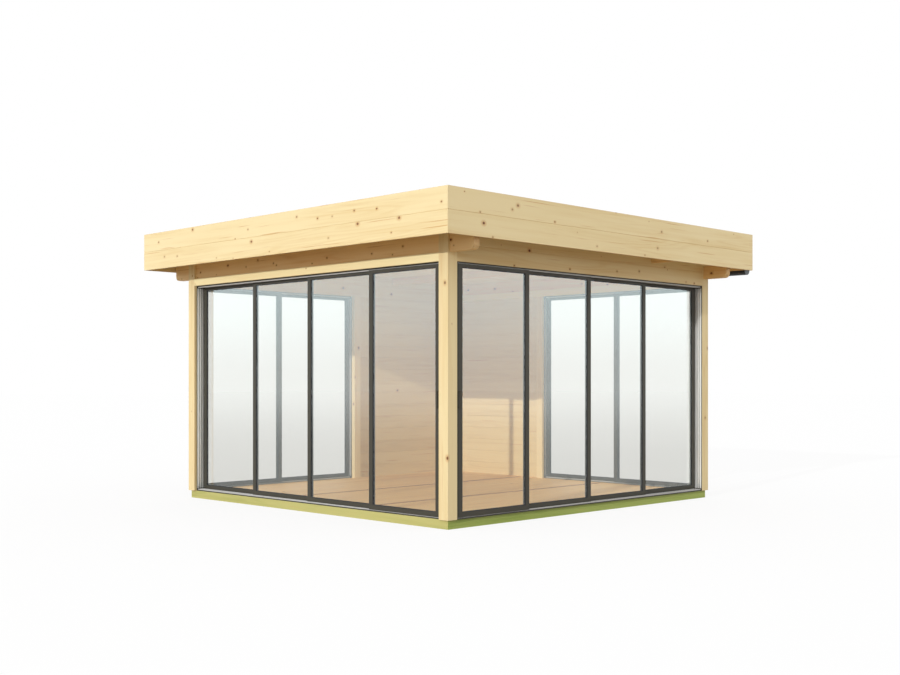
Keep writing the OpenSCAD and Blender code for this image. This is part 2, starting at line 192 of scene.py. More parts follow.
class CabinTimber(bpy.types.PropertyGroup):
    """Colours and figure of the timber."""

    pine_pale: colour("Pale pine", "Early wood of the planed pine", srgb(241, 222, 174))
    pine_deep: colour("Deep pine", "Late wood of the planed pine", srgb(227, 199, 142))
    log_pale: colour("Pale logs", "Early wood of the wall logs", srgb(233, 212, 160))
    log_deep: colour("Deep logs", "Late wood of the wall logs", srgb(220, 193, 136))
    end_grain: colour("End grain", "Sawn ends of the beams", srgb(228, 192, 138))
    knot_heart: colour("Knot", "Heart of a knot", srgb(112, 66, 34))
    knot_halo: colour("Knot rim", "Wood round a knot", srgb(206, 156, 94))
    floor_pale: colour("Pale floor", "Early wood of the floor boards", srgb(250, 212, 146))
    floor_deep: colour("Deep floor", "Late wood of the floor boards", srgb(236, 190, 119))
    treated_pale: colour("Pale treated", "Early wood of the treated base", srgb(196, 190, 120))
    treated_deep: colour("Deep treated", "Late wood of the treated base", srgb(160, 164, 86))
    # Side colours: the treated wood made darker and greener, painted shade on the base's faces that
    # look sideways
    treated_shaded_pale: colour("Side treated", "Early wood of the treated base on its sides",
                         srgb(170, 184, 98))
    treated_shaded_deep: colour("Dark treated", "Late wood of the treated base on its sides",
                         srgb(128, 152, 62))
    floor_joint: colour("Floor joint", "Strips over the joints of the floor panels", srgb(172, 112, 56))
    # Header colours: the pine made paler, painted sunlight on the headers
    header_lit_pale: colour("Pale headers", "Early wood of the headers over the doors", srgb(252, 236, 184))
    header_lit_deep: colour("Deep headers", "Late wood of the headers over the doors", srgb(240, 214, 158))
    # Beam colours: the pine made deeper and redder, painted shade of the eaves over the beams
    beam_shaded_pale: colour("Pale beams", "Early wood of the beams that the roof shades",
                      srgb(250, 216, 158))
    beam_shaded_deep: colour("Deep beams", "Late wood of the beams that the roof shades",
                      srgb(226, 176, 112))
    # The joint line is dirt and painted shade in the joint
    joint_dirt_and_shade: length("Joint dirt", "Reach of the dark line along joints of boards and logs", 0.004)
    knot_spacing: length("Knot spacing", "Usual distance between places for a knot", 0.27)
    ring_width: length("Ring width", "Distance between the growth rings on a sawn end", 0.005)


class CabinSizes(bpy.types.PropertyGroup):
    """Sizes of the pieces that dress the part."""

    log_course: length("Log course", "Height of one course of logs", 0.1293)
    floor_board: length("Floor board", "Width of a floor board", 0.121)
    floor_gap: length("Floor gap", "Gap between floor boards", 0.004)
    floor_arris: length("Floor arris", "Bevel along a floor board", 0.002)
    floor_panels: IntProperty(name="Floor panels", description="Number of panels in the floor",
                              default=3, min=1)
    floor_strip: length("Floor strip", "Width of the strip over a joint between floor panels", 0.03)
    floor_trim: length("Floor trim", "Thickness of the strips and edge boards on the floor", 0.003)
    roof_board: length("Roof board", "Width of a roof board", 0.096)
    roof_gap: length("Roof board gap", "Gap between roof boards", 0.0006)
    roof_joint: length("Roof joint", "Bevel of the joints under the roof", 0.004)
    rail_reach: length("Rail reach", "Height at sill and head that the running rails take up", 0.012)
    glass_bite: length("Glass bite", "How far the glass reaches into a leaf", 0.009)
    seal_face: length("Seal face", "Visible width of a glazing seal", 0.006)
    seal_depth: length("Seal depth", "How far a glazing seal stands off the glass", 0.0042)
    seal_round: length("Seal rounding", "Rounding of a glazing seal", 0.0015)
    brush_width: length("Brush width", "Width of the pile between two lanes of a door jamb", 0.0035)
    brush_depth: length("Brush depth", "How far the pile stands off a door jamb", 0.002)
    brush_clear: length("Brush clearance", "Space between the pile and the edge of a leaf", 0.003)
    lane_pitch: length("Lane pitch", "Distance between the lanes of a door frame", 0.023)
    lap_width: length("Lap width", "Width of a lap in the roofing", 0.05)
    lap_height: length("Lap height", "Height of a lap above the sheet", 0.0018)
    lap_count: IntProperty(name="Laps", description="Number of laps in the roofing", default=3, min=1)


class CabinMetal(bpy.types.PropertyGroup):
    """Colours of the metal, glass, roofing and plastic."""

    frame_tone: colour("Frames", "Powder coat of the door frames and leaves", srgb(64, 61, 52))
    rail_tone: colour("Rails", "Bare aluminium of the rails", srgb(250, 249, 245))
    seal_tone: colour("Seals", "Rubber of the glazing seals", srgb(28, 28, 30))
    roofing_tone: colour("Roofing", "Mineral felt on the roof", srgb(72, 73, 75))
    gutter_tone: colour("Gutter", "Plastic of the gutter", srgb(26, 26, 28))
    glass_tint: colour("Glass tint", "Colour of what is seen through one face of a pane",
                       (0.999, 0.993, 0.978))
    glass_sheen: colour("Glass sheen", "Colour of the coating that mirrors the sky", (0.9, 0.99, 1.0))
    glass_gloss: fraction("Glass gloss", "Share that a pane's face mirrors straight on", 0.13)
    glass_dim: colour("Glass dimming", "Scattered light that one face of a pane lets in",
                      (0.93, 0.88, 0.77))


class CabinStage(bpy.types.PropertyGroup):
    """Studio: sun, sky, floor and camera."""

    sun_height: angle("Sun height", "Height of the sun above the horizon", 17)
    sun_turn: angle("Sun turn", "Direction of the sun, turned from the front to the right", 12.5)
    sun_spread: angle("Sun spread", "Apparent width of the sun", 0.6)
    sun_strength: brightness("Sun strength", "Strength of the sun", 1.65)
    sky_strength: brightness("Sky strength", "Even light from the sky", 0.9)
    haze_strength: brightness("Haze strength", "Strength of the horizon that the glass mirrors", 1.5)
    sky_mirror_strength: brightness("Mirrored sky strength", "Strength of the mirrored upper sky", 2.12)
    sky_mirror_rise: angle("Mirrored sky rise", "Height where the mirrored upper sky is reached", 4)
    sky_tone: colour("Mirrored sky", "Colour of the upper sky that the glass mirrors",
                     (0.86, 0.925, 0.945))
    floor_bounce: colour("Floor bounce", "Light that the floor throws back on the cabin",
                         (0.34, 0.28, 0.21))
    floor_shade: fraction("Floor shade", "Share of the seen floor that shadows darken", 0.12)
    floor_glow: fraction("Floor glow", "White that the floor adds where it is seen", 0.87)
    floor_mirror: fraction("Mirrored floor", "White that the floor close by adds in mirrors", 0.55)
    haze_start: length("Haze distance", "Distance at which half the haze hides the mirrored floor", 25)
    floor_size: length("Floor size", "Side of the studio floor", 160)
    eye_place: FloatVectorProperty(name="Eye", description="Place of the camera", size=3,
                                   default=(7.984, -7.962, 1.12), subtype="TRANSLATION", unit="LENGTH")
    eye_turn: angle("Eye turn", "Turn of the level camera about the upright", 45)
    lens: FloatProperty(name="Lens", description="Focal length for a 36 mm wide film, in millimetres",
                        default=47.32, min=1)
    rise: FloatProperty(name="Rise", description="Upward shift of the film in image widths",
                        default=0.047)


class Finish:
    """A node tree being written: short calls that add a node and give back its output."""

    # Sockets of the Mix node, whose names are shared by its value and colour forms
    MIX_FACTOR = 0
    VALUE_FIRST = 2
    VALUE_SECOND = 3
    VALUE_RESULT = 0
    COLOUR_FIRST = 6
    COLOUR_SECOND = 7
    COLOUR_RESULT = 2

    def __init__(self, tree):
        self.tree = tree
        tree.nodes.clear()

    def feed(self, socket, value):
        """Links a socket to another one, or sets it to a plain value."""
        if isinstance(value, bpy.types.NodeSocket):
            self.tree.links.new(value, socket)
        elif hasattr(value, "__len__") and len(value) == 3 and len(socket.default_value) == 4:
            socket.default_value = (*value, 1)
        else:
            socket.default_value = value

    def add(self, kind, inputs=None, **settings):
        """A node with its settings made and its inputs fed."""
        node = self.tree.nodes.new("ShaderNode" + kind)
        for key, value in settings.items():
            setattr(node, key, value)
        for key, value in (inputs or {}).items():
            self.feed(node.inputs[key], value)
        return node

    def sum(self, operation, first, second=0.0):
        """The result of a Math node."""
        return self.add("Math", {0: first, 1: second}, operation=operation).outputs[0]

    def vector(self, x=0.0, y=0.0, z=0.0):
        """A vector put together from three values."""
        return self.add("CombineXYZ", {"X": x, "Y": y, "Z": z}).outputs[0]

    def parts(self, vector):
        """The three values of a vector."""
        return self.add("SeparateXYZ", {"Vector": vector}).outputs

    def noise(self, place, scale, detail=2.0, roughness=0.5):
        """Soft noise from 0 to 1."""
        inputs = {"Vector": place, "Scale": scale, "Detail": detail, "Roughness": roughness}
        return self.add("TexNoise", inputs).outputs[0]

    def fade(self, value, start, end, low=0.0, high=1.0):
        """A smooth change from low to high while the value goes from start to end."""
        inputs = {"Value": value, "From Min": start, "From Max": end, "To Min": low, "To Max": high}
        return self.add("MapRange", inputs, interpolation_type="SMOOTHSTEP").outputs["Result"]

    def mix(self, share, first, second):
        """A colour between two others."""
        inputs = {self.MIX_FACTOR: share, self.COLOUR_FIRST: first, self.COLOUR_SECOND: second}
        return self.add("Mix", inputs, data_type="RGBA").outputs[self.COLOUR_RESULT]

    def between(self, share, first, second):
        """A value between two others."""
        inputs = {self.MIX_FACTOR: share, self.VALUE_FIRST: first, self.VALUE_SECOND: second}
        return self.add("Mix", inputs, data_type="FLOAT").outputs[self.VALUE_RESULT]

    def layers(self, *shaders):
        """Shaders laid over each other: the lowest, then pairs of a share and the next one."""
        result = shaders[0]
        for share, upper in zip(shaders[1::2], shaders[2::2]):
            result = self.add("MixShader", {0: share, 1: result, 2: upper}).outputs[0]
        return result

    def grain(self, pattern, run, across, detail, roughness=0.5, layer=0.0):
        """Noise drawn out along the grain, by the repeats of a pattern along and across it."""
        lengthwise = self.sum("MULTIPLY", run, pattern[0])
        crosswise = self.sum("MULTIPLY", across, pattern[1])
        return self.noise(self.vector(lengthwise, crosswise, layer), 1.0, detail, roughness)

    def total(self, *terms):
        """The sum of several values, each with its weight."""
        result = None
        for value, weight in terms:
            term = self.sum("MULTIPLY", value, weight)
            result = term if result is None else self.sum("ADD", result, term)
        return result

    def place(self):
        """Places on the object."""
        return self.add("TexCoord").outputs["Object"]

    def bump(self, height, strength, distance):
        """A normal that follows a height."""
        inputs = {"Height": height, "Strength": strength, "Distance": distance}
        return self.add("Bump", inputs).outputs["Normal"]

    def surface(self, shader):
        """Sends a shader to the output."""
        self.add("OutputMaterial", {"Surface": shader})

    def principled(self, **inputs):
        """A Principled shader sent to the output, its sockets given with _ for a blank."""
        named = {key.replace("_", " "): value for key, value in inputs.items()}
        self.surface(self.add("BsdfPrincipled", named).outputs[0])


def shaded(tone, share):
    """A colour made lighter or darker, up to white."""
    return tuple(min(1.0, channel * share) for channel in tone)


def new_finish(name):
    """A new node material and the tree to write it in."""
    material = bpy.data.materials.new(name)
    material.use_nodes = True
    return material, Finish(material.node_tree)


def planed_wood(name, timber, along, pale, deep, rows=None, knots=0.5, joint=0.3, dense=1.0,
                sides=None):
    """Planed softwood with its grain along an axis.

    rows is the axis, start and pitch of the boards or logs, so that each has its own figure.
    along "XY" runs level along every upright face, and sides gives the two colours of those that look
    sideways. knots is the share of places that hold one, dense sets how close the places are, and joint
    is the strength of the dark line between two rows.
    """
    material, f = new_finish(name)
    place = f.parts(f.place())
    normal = f.parts(f.add("NewGeometry").outputs["Normal"])
    if along == "XY":
        side_on = f.sum("GREATER_THAN", f.sum("ABSOLUTE", normal["X"]), SIDE_ON)
        run = f.between(side_on, place["X"], place["Y"])
        across = place["Z"]
        # Sideways faces take their own colours; for the treated base these are painted shade
        pale = f.mix(side_on, pale, sides[0])
        deep = f.mix(side_on, deep, sides[1])
    else:
        run = place[along]
        first, second = (place[axis] for axis in AXES if axis != along)
        across = f.sum("ADD", first, second)
    if rows:
        axis, start, pitch = rows
        course = f.sum("DIVIDE", f.sum("SUBTRACT", place[axis], start), pitch)
        row = f.sum("FLOOR", course)
        lot = f.add("TexWhiteNoise", {"W": row}, noise_dimensions="1D").outputs["Value"]
        run = f.sum("ADD", run, f.sum("MULTIPLY", lot, BOARD_SHIFT[0]))
        across = f.sum("ADD", across, f.sum("MULTIPLY", lot, BOARD_SHIFT[1]))
    # Grain: fine fibres, broad strokes, the contours of growth rings and a few resin streaks
    fibre = f.grain(FIBRE, run, across, detail=3.0, roughness=0.6)
    stroke = f.grain(STROKE, run, across, detail=3.0, roughness=0.55)
    drift = f.grain(DRIFT, run, across, detail=1.0)
    growth = f.grain(GROWTH, run, across, detail=1.5, roughness=0.4)
    resin = f.grain(RESIN, run, across, detail=2.0, layer=3.0)
    late = f.sum("SINE", f.sum("MULTIPLY", growth, GROWTH_LINES))
    late = f.sum("MULTIPLY", f.fade(late, -0.3, 1.0), f.fade(drift, 0.4, 0.65))
    tone = f.total((late, LATE_TONE), (stroke, STROKE_TONE), (fibre, FIBRE_TONE), (drift, DRIFT_TONE))
    if rows:
        tone = f.sum("ADD", tone, f.sum("MULTIPLY", f.sum("SUBTRACT", lot, 0.5), BOARD_TONE))
    wood = f.mix(f.fade(tone, *TONE_RANGE), pale, deep)
    wood = f.mix(f.fade(resin, *RESIN_RANGE, high=RESIN_SHARE), wood, timber.knot_halo)
    # Dark line along the joints between rows: dirt and painted shade in the joint
    if rows:
        off_joint = f.sum("MULTIPLY", f.sum("PINGPONG", course, 0.5), pitch)
        dirt_and_shade = f.fade(off_joint, 0.0, timber.joint_dirt_and_shade, low=joint, high=0.0)
        wood = f.mix(dirt_and_shade, wood, timber.knot_halo)
    # Knots: round places on a loose grid, of which a share is used
    grid = f.vector(f.sum("MULTIPLY", run, KNOT_STRETCH), across)
    spots = f.add("TexVoronoi", {"Vector": grid, "Scale": dense / timber.knot_spacing},
                  voronoi_dimensions="2D")
    chance = f.parts(spots.outputs["Color"])
    more = f.sum("MULTIPLY", f.sum("POWER", chance["Y"], KNOT_RARITY), KNOT_MORE * dense)
    radius = f.sum("ADD", more, KNOT_LEAST * dense)
    ragged = f.sum("ADD", spots.outputs["Distance"], f.sum("MULTIPLY", fibre, KNOT_RAGGED))
    reach = f.sum("DIVIDE", ragged, radius)
    strength = f.fade(chance["Z"], 0.0, 1.0, low=KNOT_FAINT)
    used = f.sum("MULTIPLY", f.sum("LESS_THAN", chance["X"], knots), strength)
    heart = f.sum("MULTIPLY", f.fade(reach, *HEART_FADE, low=1.0, high=0.0), used)
    rim = f.sum("MULTIPLY", f.fade(reach, *RIM_FADE, low=KNOT_RIM, high=0.0), used)
    wood = f.mix(rim, wood, timber.knot_halo)
    wood = f.mix(heart, wood, timber.knot_heart)
    if along != "XY":
        rings = f.add("TexWave", {
            "Vector": f.place(), "Scale": 2 * math.pi / (WAVE_TURN * timber.ring_width),
            "Distortion": 2.5, "Detail": 2.0, "Detail Scale": 0.4,
        }, wave_type="RINGS", rings_direction=along).outputs["Fac"]
        end = f.mix(f.fade(rings, 0.3, 1.0, high=0.4), timber.end_grain, timber.knot_halo)
        wood = f.mix(f.sum("GREATER_THAN", f.sum("ABSOLUTE", normal[along]), END_ON), wood, end)
    relief = f.total((fibre, 0.6), (late, 0.4))
    f.principled(Base_Color=wood, Roughness=f.fade(stroke, 0.3, 0.7, low=0.52, high=0.66),
                 Specular_IOR_Level=0.35, Normal=f.bump(relief, strength=0.18, distance=0.0006))
    return material


def powder_coat(name, tone):
    """Fine-textured powder coat on aluminium."""
    material, f = new_finish(name)
    place = f.place()
    orange_peel = f.noise(place, ORANGE_PEEL, detail=2.0, roughness=0.6)
    haze = f.noise(place, scale=2.5, detail=3.0)
    mottle = f.fade(f.total((orange_peel, 0.5), (haze, 0.5)), 0.35, 0.65)
    f.principled(Base_Color=f.mix(mottle, tone, shaded(tone, COAT_LIGHT)),
                 Roughness=f.fade(haze, 0.3, 0.7, low=0.42, high=0.56), Specular_IOR_Level=0.25,
                 Normal=f.bump(orange_peel, strength=0.12, distance=0.0002))
    return material


def drawn_aluminium(name, tone, low, high):
    """Drawn aluminium with fine die lines, bright on the jambs, darker and less metallic below low and
    above high.
    """
    material, f = new_finish(name)
    place = f.parts(f.place())
    drawn = f.vector(f.sum("MULTIPLY", place["X"], DIE_LINES), f.sum("MULTIPLY", place["Y"], DIE_LINES),
                     f.sum("MULTIPLY", place["Z"], DIE_LINES / DIE_DRAW))
    lines = f.noise(drawn, scale=1.0, detail=2.0)
    # Rails at sill and head: darker and less metallic than the jambs
    run = f.sum("MAXIMUM", f.sum("LESS_THAN", place["Z"], low), f.sum("GREATER_THAN", place["Z"], high))
    bright = f.mix(f.fade(lines, 0.3, 0.7), shaded(tone, RAIL_DULL), tone)
    metal = f.sum("MULTIPLY", f.sum("SUBTRACT", 1.0, run), JAMB_METAL)
    f.principled(Base_Color=f.mix(run, bright, shaded(tone, RAIL_ENDS_DARK)), Metallic=metal,
                 Roughness=f.fade(lines, 0.3, 0.7, low=0.32, high=0.48),
                 Normal=f.bump(lines, strength=0.05, distance=0.0002))
    return material


def coated_glass(name, metal):
    """Sun-control glass: mirrors the sky on its outside, lets the sun in and dims scattered light."""
    material, f = new_finish(name)
    facing = f.add("LayerWeight", {"Blend": 0.5}).outputs["Facing"]
    grazing = f.sum("MULTIPLY", f.sum("POWER", facing, GLANCING), 1 - metal.glass_gloss)
    gloss = f.sum("ADD", grazing, metal.glass_gloss)
    outward = f.add("VectorMath", {0: f.place(), 1: f.add("NewGeometry").outputs["Normal"]},
                    operation="DOT_PRODUCT").outputs["Value"]
    coating = f.mix(f.sum("GREATER_THAN", outward, 0.0), (0, 0, 0), metal.glass_sheen)
    toned = f.add("BsdfTransparent", {"Color": metal.glass_tint}).outputs[0]
    mirror = f.add("BsdfGlossy", {"Roughness": 0.0, "Color": coating}).outputs[0]
    dim = f.add("BsdfTransparent", {"Color": metal.glass_dim}).outputs[0]
    clear = f.add("BsdfTransparent", {"Color": (1, 1, 1)}).outputs[0]
    path = f.add("LightPath").outputs
    f.surface(f.layers(toned, gloss, mirror, path["Is Diffuse Ray"], dim, path["Is Shadow Ray"], clear))
    return material


def mineral_felt(name, tone):
    """Roofing felt strewn with fine mineral chips."""
    material, f = new_finish(name)
    place = f.place()
    chips = f.add("TexVoronoi", {"Vector": place, "Scale": FELT_CHIPS})
    grey = f.parts(chips.outputs["Color"])["X"]
    weather = f.noise(place, scale=1.6, detail=4.0, roughness=0.6)
    chip_tone = f.mix(grey, shaded(tone, CHIP_DARK), shaded(tone, CHIP_PALE))
    worn = f.fade(weather, 0.3, 0.75, low=0.15, high=0.6)
    f.principled(Base_Color=f.mix(worn, chip_tone, tone), Roughness=0.9, Specular_IOR_Level=0.25,
                 Normal=f.bump(chips.outputs["Distance"], strength=0.5, distance=0.0012))
    return material


def moulded(name, tone, roughness):
    """Moulded plastic or rubber with a light grain."""
    material, f = new_finish(name)
    place = f.place()
    grain = f.noise(place, PLASTIC_GRAIN, detail=2.0)
    dust = f.noise(place, scale=6.0, detail=4.0, roughness=0.65)
    dusty = tuple(min(1.0, channel * DUST_PALE + DUST_GLEAM) for channel in tone)
    f.principled(Base_Color=f.mix(f.fade(dust, 0.4, 0.8), tone, dusty),
                 Roughness=f.fade(dust, 0.3, 0.8, roughness - DUST_ROUGH, roughness + DUST_ROUGH),
                 Normal=f.bump(grain, strength=0.08, distance=0.0002))
    return material


def dress(material, *names):
    """Gives CAD nodes a finish."""
    for name in names:
        slots = NODES[name].data.materials
        slots.clear()
        slots.append(material)


def start_block(name, size, centre):
    """A cube primitive of a size and place, alone selected, with its scale applied."""
    bpy.ops.object.select_all(action="DESELECT")
    bpy.ops.mesh.primitive_cube_add(size=1, location=centre, scale=size)
    piece = bpy.context.object
    piece.name = name
    piece.data.name = name
    bpy.ops.object.transform_apply(location=False, rotation=False, scale=True)
    return piece


def pick(piece, kind, test):
    """In edit mode, selects only the faces, edges or vertices that pass a test."""
    bpy.ops.mesh.select_mode(type=kind)
    bpy.ops.mesh.select_all(action="DESELECT")
    mesh = bmesh.from_edit_mesh(piece.data)
    elements = {"VERT": mesh.verts, "EDGE": mesh.edges, "FACE": mesh.faces}[kind]
    for element in elements:
        element.select_set(test(element))
    mesh.select_flush_mode()
    bmesh.update_edit_mesh(piece.data)


def along_edge(edge, axis):
    """Whether an edge runs mainly along an axis."""
    step = edge.verts[1].co - edge.verts[0].co
    return abs(step[axis]) > MAINLY * step.length


def repeat(piece, count, step):
    """Repeats a piece in a row and keeps the result as its mesh."""
    row = piece.modifiers.new("row", "ARRAY")
    row.count = count
    row.use_relative_offset = False
    row.use_constant_offset = True
    row.constant_offset_displace = step
    bpy.ops.object.modifier_apply(modifier=row.name)


def settle(piece, body, material):
    """Puts a finished piece's place into its mesh and hands it to its body and finish."""
    bpy.ops.object.select_all(action="DESELECT")
    piece.select_set(True)
    bpy.context.view_layer.objects.active = piece
    bpy.ops.object.transform_apply(location=True, rotation=True, scale=True)
    piece.data.materials.append(material)
    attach(piece, body)


class CABIN_OT_timber(bpy.types.Operator):
    """Pine on the posts, logs, beams and fascias, and the treated base"""

    bl_idname = "cabin.timber"
    bl_label = "Timber finishes"

    def execute(self, context):
        timber = context.scene.cabin_timber
        pale, deep = timber.pine_pale, timber.pine_deep
        fascia_low, fascia_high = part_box("front_fascia")
        boards = ("Z", fascia_low.z, (fascia_high.z - fascia_low.z) / 2)
        wall_low, wall_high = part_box("left_log_wall")
        course = context.scene.cabin_sizes.log_course
        wall_height = wall_high.z - wall_low.z
        logs = ("Z", wall_low.z, wall_height / round(wall_height / course))
        dress(planed_wood("front fascia pine", timber, "X", pale, deep, boards,
                          knots=0.9, joint=0.14, dense=1.2),
              "front_fascia")
        dress(planed_wood("side fascia pine", timber, "Y", pale, deep, boards, knots=0.9, dense=1.2),
              "left_fascia", "right_fascia")
        dress(planed_wood("post pine", timber, "Z", pale, deep, knots=0.6),
              "front_left_post", "front_right_post", "back_left_post", "back_right_post",
              "left_end_post", "back_end_post")
        # Headers take paler pine as painted sunlight
        dress(planed_wood("header pine painted light", timber, "X", timber.header_lit_pale, timber.header_lit_deep,
                          knots=0.3),
              "front_header", "back_header")
        # Beams take deeper, redder pine as painted shade
        dress(planed_wood("beam pine painted shade", timber, "X", timber.beam_shaded_pale, timber.beam_shaded_deep,
                          knots=0.9, dense=1.7),
              "front_top_beam", "back_top_beam", "purlins", "eave_board", "floor_joists")
        dress(planed_wood("side log pine", timber, "Y", timber.log_pale, timber.log_deep, logs,
                          knots=0.12, joint=0.15),
              "left_log_wall")
        dress(planed_wood("gable pine", timber, "Y", pale, deep, logs, knots=0.7, dense=1.4),
              "left_gable", "right_gable")
        dress(planed_wood("back log pine", timber, "X", timber.log_pale, timber.log_deep, logs,
                          knots=0.12, joint=0.15),
              "back_log_wall")
        # The treated base's sideways faces get painted shade
        dress(planed_wood("treated base", timber, "XY", timber.treated_pale, timber.treated_deep,
                          knots=0.35, sides=(timber.treated_shaded_pale, timber.treated_shaded_deep)),
              "base_beams")
        return {"FINISHED"}


class CABIN_OT_metal(bpy.types.Operator):
    """Powder coat on the door frames and leaves, and bare rails"""

    bl_idname = "cabin.metal"
    bl_label = "Door frame finishes"

    def execute(self, context):
        metal = context.scene.cabin_metal
        frames = [name for name in NODES if "leaf" in name or "door_frame" in name]
        dress(powder_coat("door powder coat", metal.frame_tone), *frames)
        low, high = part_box("running_rails")
        reach = context.scene.cabin_sizes.rail_reach
        dress(drawn_aluminium("rail aluminium", metal.rail_tone, low.z + reach, high.z - reach),
              "running_rails")
        return {"FINISHED"}


class CABIN_OT_glass(bpy.types.Operator):
    """Sun-control glass in every leaf"""

    bl_idname = "cabin.glass"
    bl_label = "Glass"

    def execute(self, context):
        panes = [name for name in NODES if "glass" in name]
        dress(coated_glass("door glass", context.scene.cabin_metal), *panes)
        return {"FINISHED"}


class CABIN_OT_roof_finish(bpy.types.Operator):
    """Felt on the roof and plastic on the gutter"""

    bl_idname = "cabin.roof_finish"
    bl_label = "Roof and gutter finishes"

    def execute(self, context):
        metal = context.scene.cabin_metal
        dress(mineral_felt("roofing felt", metal.roofing_tone), "roofing")
        dress(moulded("gutter plastic", metal.gutter_tone, roughness=0.42), "gutter", "gutter_brackets")
        return {"FINISHED"}


class CABIN_OT_floor_boards(bpy.types.Operator):
    """Floor of separate boards that run from front to back"""

    bl_idname = "cabin.floor_boards"
    bl_label = "Floor boards"

    def execute(self, context):
        sizes = context.scene.cabin_sizes
        timber = context.scene.cabin_timber
        low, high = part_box("floor")
        count = round((high.x - low.x) / sizes.floor_board)
        pitch = (high.x - low.x) / count
        size = Vector((pitch - sizes.floor_gap, high.y - low.y, high.z - low.z))
        middle = (low + high) / 2
        board = start_block("floor_boards", size, (low.x + pitch / 2, middle.y, middle.z))
        bpy.ops.object.mode_set(mode="EDIT")
        pick(board, "EDGE", lambda e: along_edge(e, 1) and min(v.co.z for v in e.verts) > 0)
        bpy.ops.mesh.bevel(offset=sizes.floor_arris, segments=2, affect="EDGES")
        bpy.ops.object.mode_set(mode="OBJECT")
        repeat(board, count, (pitch, 0, 0))
        rows = ("X", low.x, pitch)
        settle(board, "root",
               planed_wood("floor pine", timber, "Y", timber.floor_pale, timber.floor_deep, rows,
                           knots=0.25))
        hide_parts("floor")
        return {"FINISHED"}


class CABIN_OT_floor_trim(bpy.types.Operator):
    """Strips over the joints of the floor panels, and boards that close the floor up to the walls"""

    bl_idname = "cabin.floor_trim"
    bl_label = "Floor trim"

    def execute(self, context):
        sizes = context.scene.cabin_sizes
        timber = context.scene.cabin_timber
        self.joints(sizes, timber)
        self.edges(sizes, timber)
        return {"FINISHED"}

    def trim(self, sizes, name, low, high):
        """A thin board on the floor with its upper edges taken off."""
        size = Vector((high[0] - low[0], high[1] - low[1], sizes.floor_trim))
        floor_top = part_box("floor")[1].z
        board = start_block(name, size, ((low[0] + high[0]) / 2, (low[1] + high[1]) / 2,
                                         floor_top + sizes.floor_trim / 2))
        bpy.ops.object.mode_set(mode="EDIT")
        pick(board, "EDGE", lambda e: min(v.co.z for v in e.verts) > 0)
        bpy.ops.mesh.bevel(offset=sizes.floor_trim / 3, segments=2, affect="EDGES")
        bpy.ops.object.mode_set(mode="OBJECT")
        return board

    def joints(self, sizes, timber):
        """The strips over the joints, in a row."""
        low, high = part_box("floor")
        panel = (high.x - low.x) / sizes.floor_panels
        first = low.x + panel
        half = sizes.floor_strip / 2
        strip = self.trim(sizes, "floor_joint_strips", (first - half, low.y), (first + half, high.y))
        repeat(strip, sizes.floor_panels - 1, (panel, 0, 0))
        late = shaded(timber.floor_joint, STRIP_LATE)
        settle(strip, "root",
               planed_wood("floor strip pine", timber, "Y", timber.floor_joint, late, knots=0.0))

    def edges(self, sizes, timber):
        """The boards along the floor's edges, from the front left corner round to the right side."""
        low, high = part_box("floor")
        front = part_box("front_door_frame")[1].y
        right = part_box("right_door_frame")[0].x
        left_post, back_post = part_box("left_end_post"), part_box("back_end_post")
        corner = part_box("back_left_post")
        left_wall, left_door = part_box("left_log_wall")[1].x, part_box("left_door_frame")[1].x
        back_wall, back_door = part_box("back_log_wall")[0].y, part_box("back_door_frame")[0].y
        spans = (
            ((left_door, front), (low.x, left_post[0].y)),
            ((left_post[1].x, left_post[0].y), (low.x, left_post[1].y)),
            ((left_wall, left_post[1].y), (low.x, corner[0].y)),
            ((low.x, high.y), (back_post[0].x, back_wall)),
            ((back_post[0].x, high.y), (back_post[1].x, back_post[0].y)),
            ((back_post[1].x, high.y), (high.x, back_door)),
            ((high.x, front), (right, corner[0].y)),
        )
        boards = [self.trim(sizes, "floor_edge_boards", start, end) for start, end in spans]
        bpy.ops.object.select_all(action="DESELECT")
        for board in boards:
            board.select_set(True)
        bpy.context.view_layer.objects.active = boards[0]
        bpy.ops.object.join()
        settle(boards[0], "root",
               planed_wood("floor edge pine", timber, "Y", timber.floor_pale, timber.floor_deep,
                           knots=0.1))


class CABIN_OT_roof_boards(bpy.types.Operator):
    """Roof of separate boards that run down the slope, with open joints below"""

    bl_idname = "cabin.roof_boards"
    bl_label = "Roof boards"

    def execute(self, context):
        sizes = context.scene.cabin_sizes
        timber = context.scene.cabin_timber
        low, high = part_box("roof_boards")
        rise, thick = roof_slope()
        count = round((high.x - low.x) / sizes.roof_board)
        pitch = (high.x - low.x) / count
        size = Vector((pitch - sizes.roof_gap, high.y - low.y, thick))
        board = start_block("ceiling_boards", size,
                            (low.x + pitch / 2, (low.y + high.y) / 2, low.z + thick / 2))
        bpy.ops.object.mode_set(mode="EDIT")
        pick(board, "EDGE", lambda e: along_edge(e, 1) and max(v.co.z for v in e.verts) < 0)
        bpy.ops.mesh.bevel(offset=sizes.roof_joint, segments=1, affect="EDGES")
        pick(board, "VERT", lambda v: v.co.y < 0)
        bpy.ops.transform.translate(value=(0, 0, rise))
        bpy.ops.object.mode_set(mode="OBJECT")
        repeat(board, count, (pitch, 0, 0))
        rows = ("X", low.x, pitch)
        settle(board, "root",
               planed_wood("ceiling pine", timber, "Y", timber.pine_pale, timber.pine_deep, rows,
                           knots=0.15, joint=0.2))
        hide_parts("roof_boards")
        return {"FINISHED"}


def roof_slope():
    """How much the roof boards rise from back to front, and their thickness."""
    low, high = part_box("roof_boards")
    back = [v.co.z for v in NODES["roof_boards"].data.vertices if v.co.y > high.y - CLOSE]
    thick = max(back) - min(back)
    return high.z - low.z - thick, thick


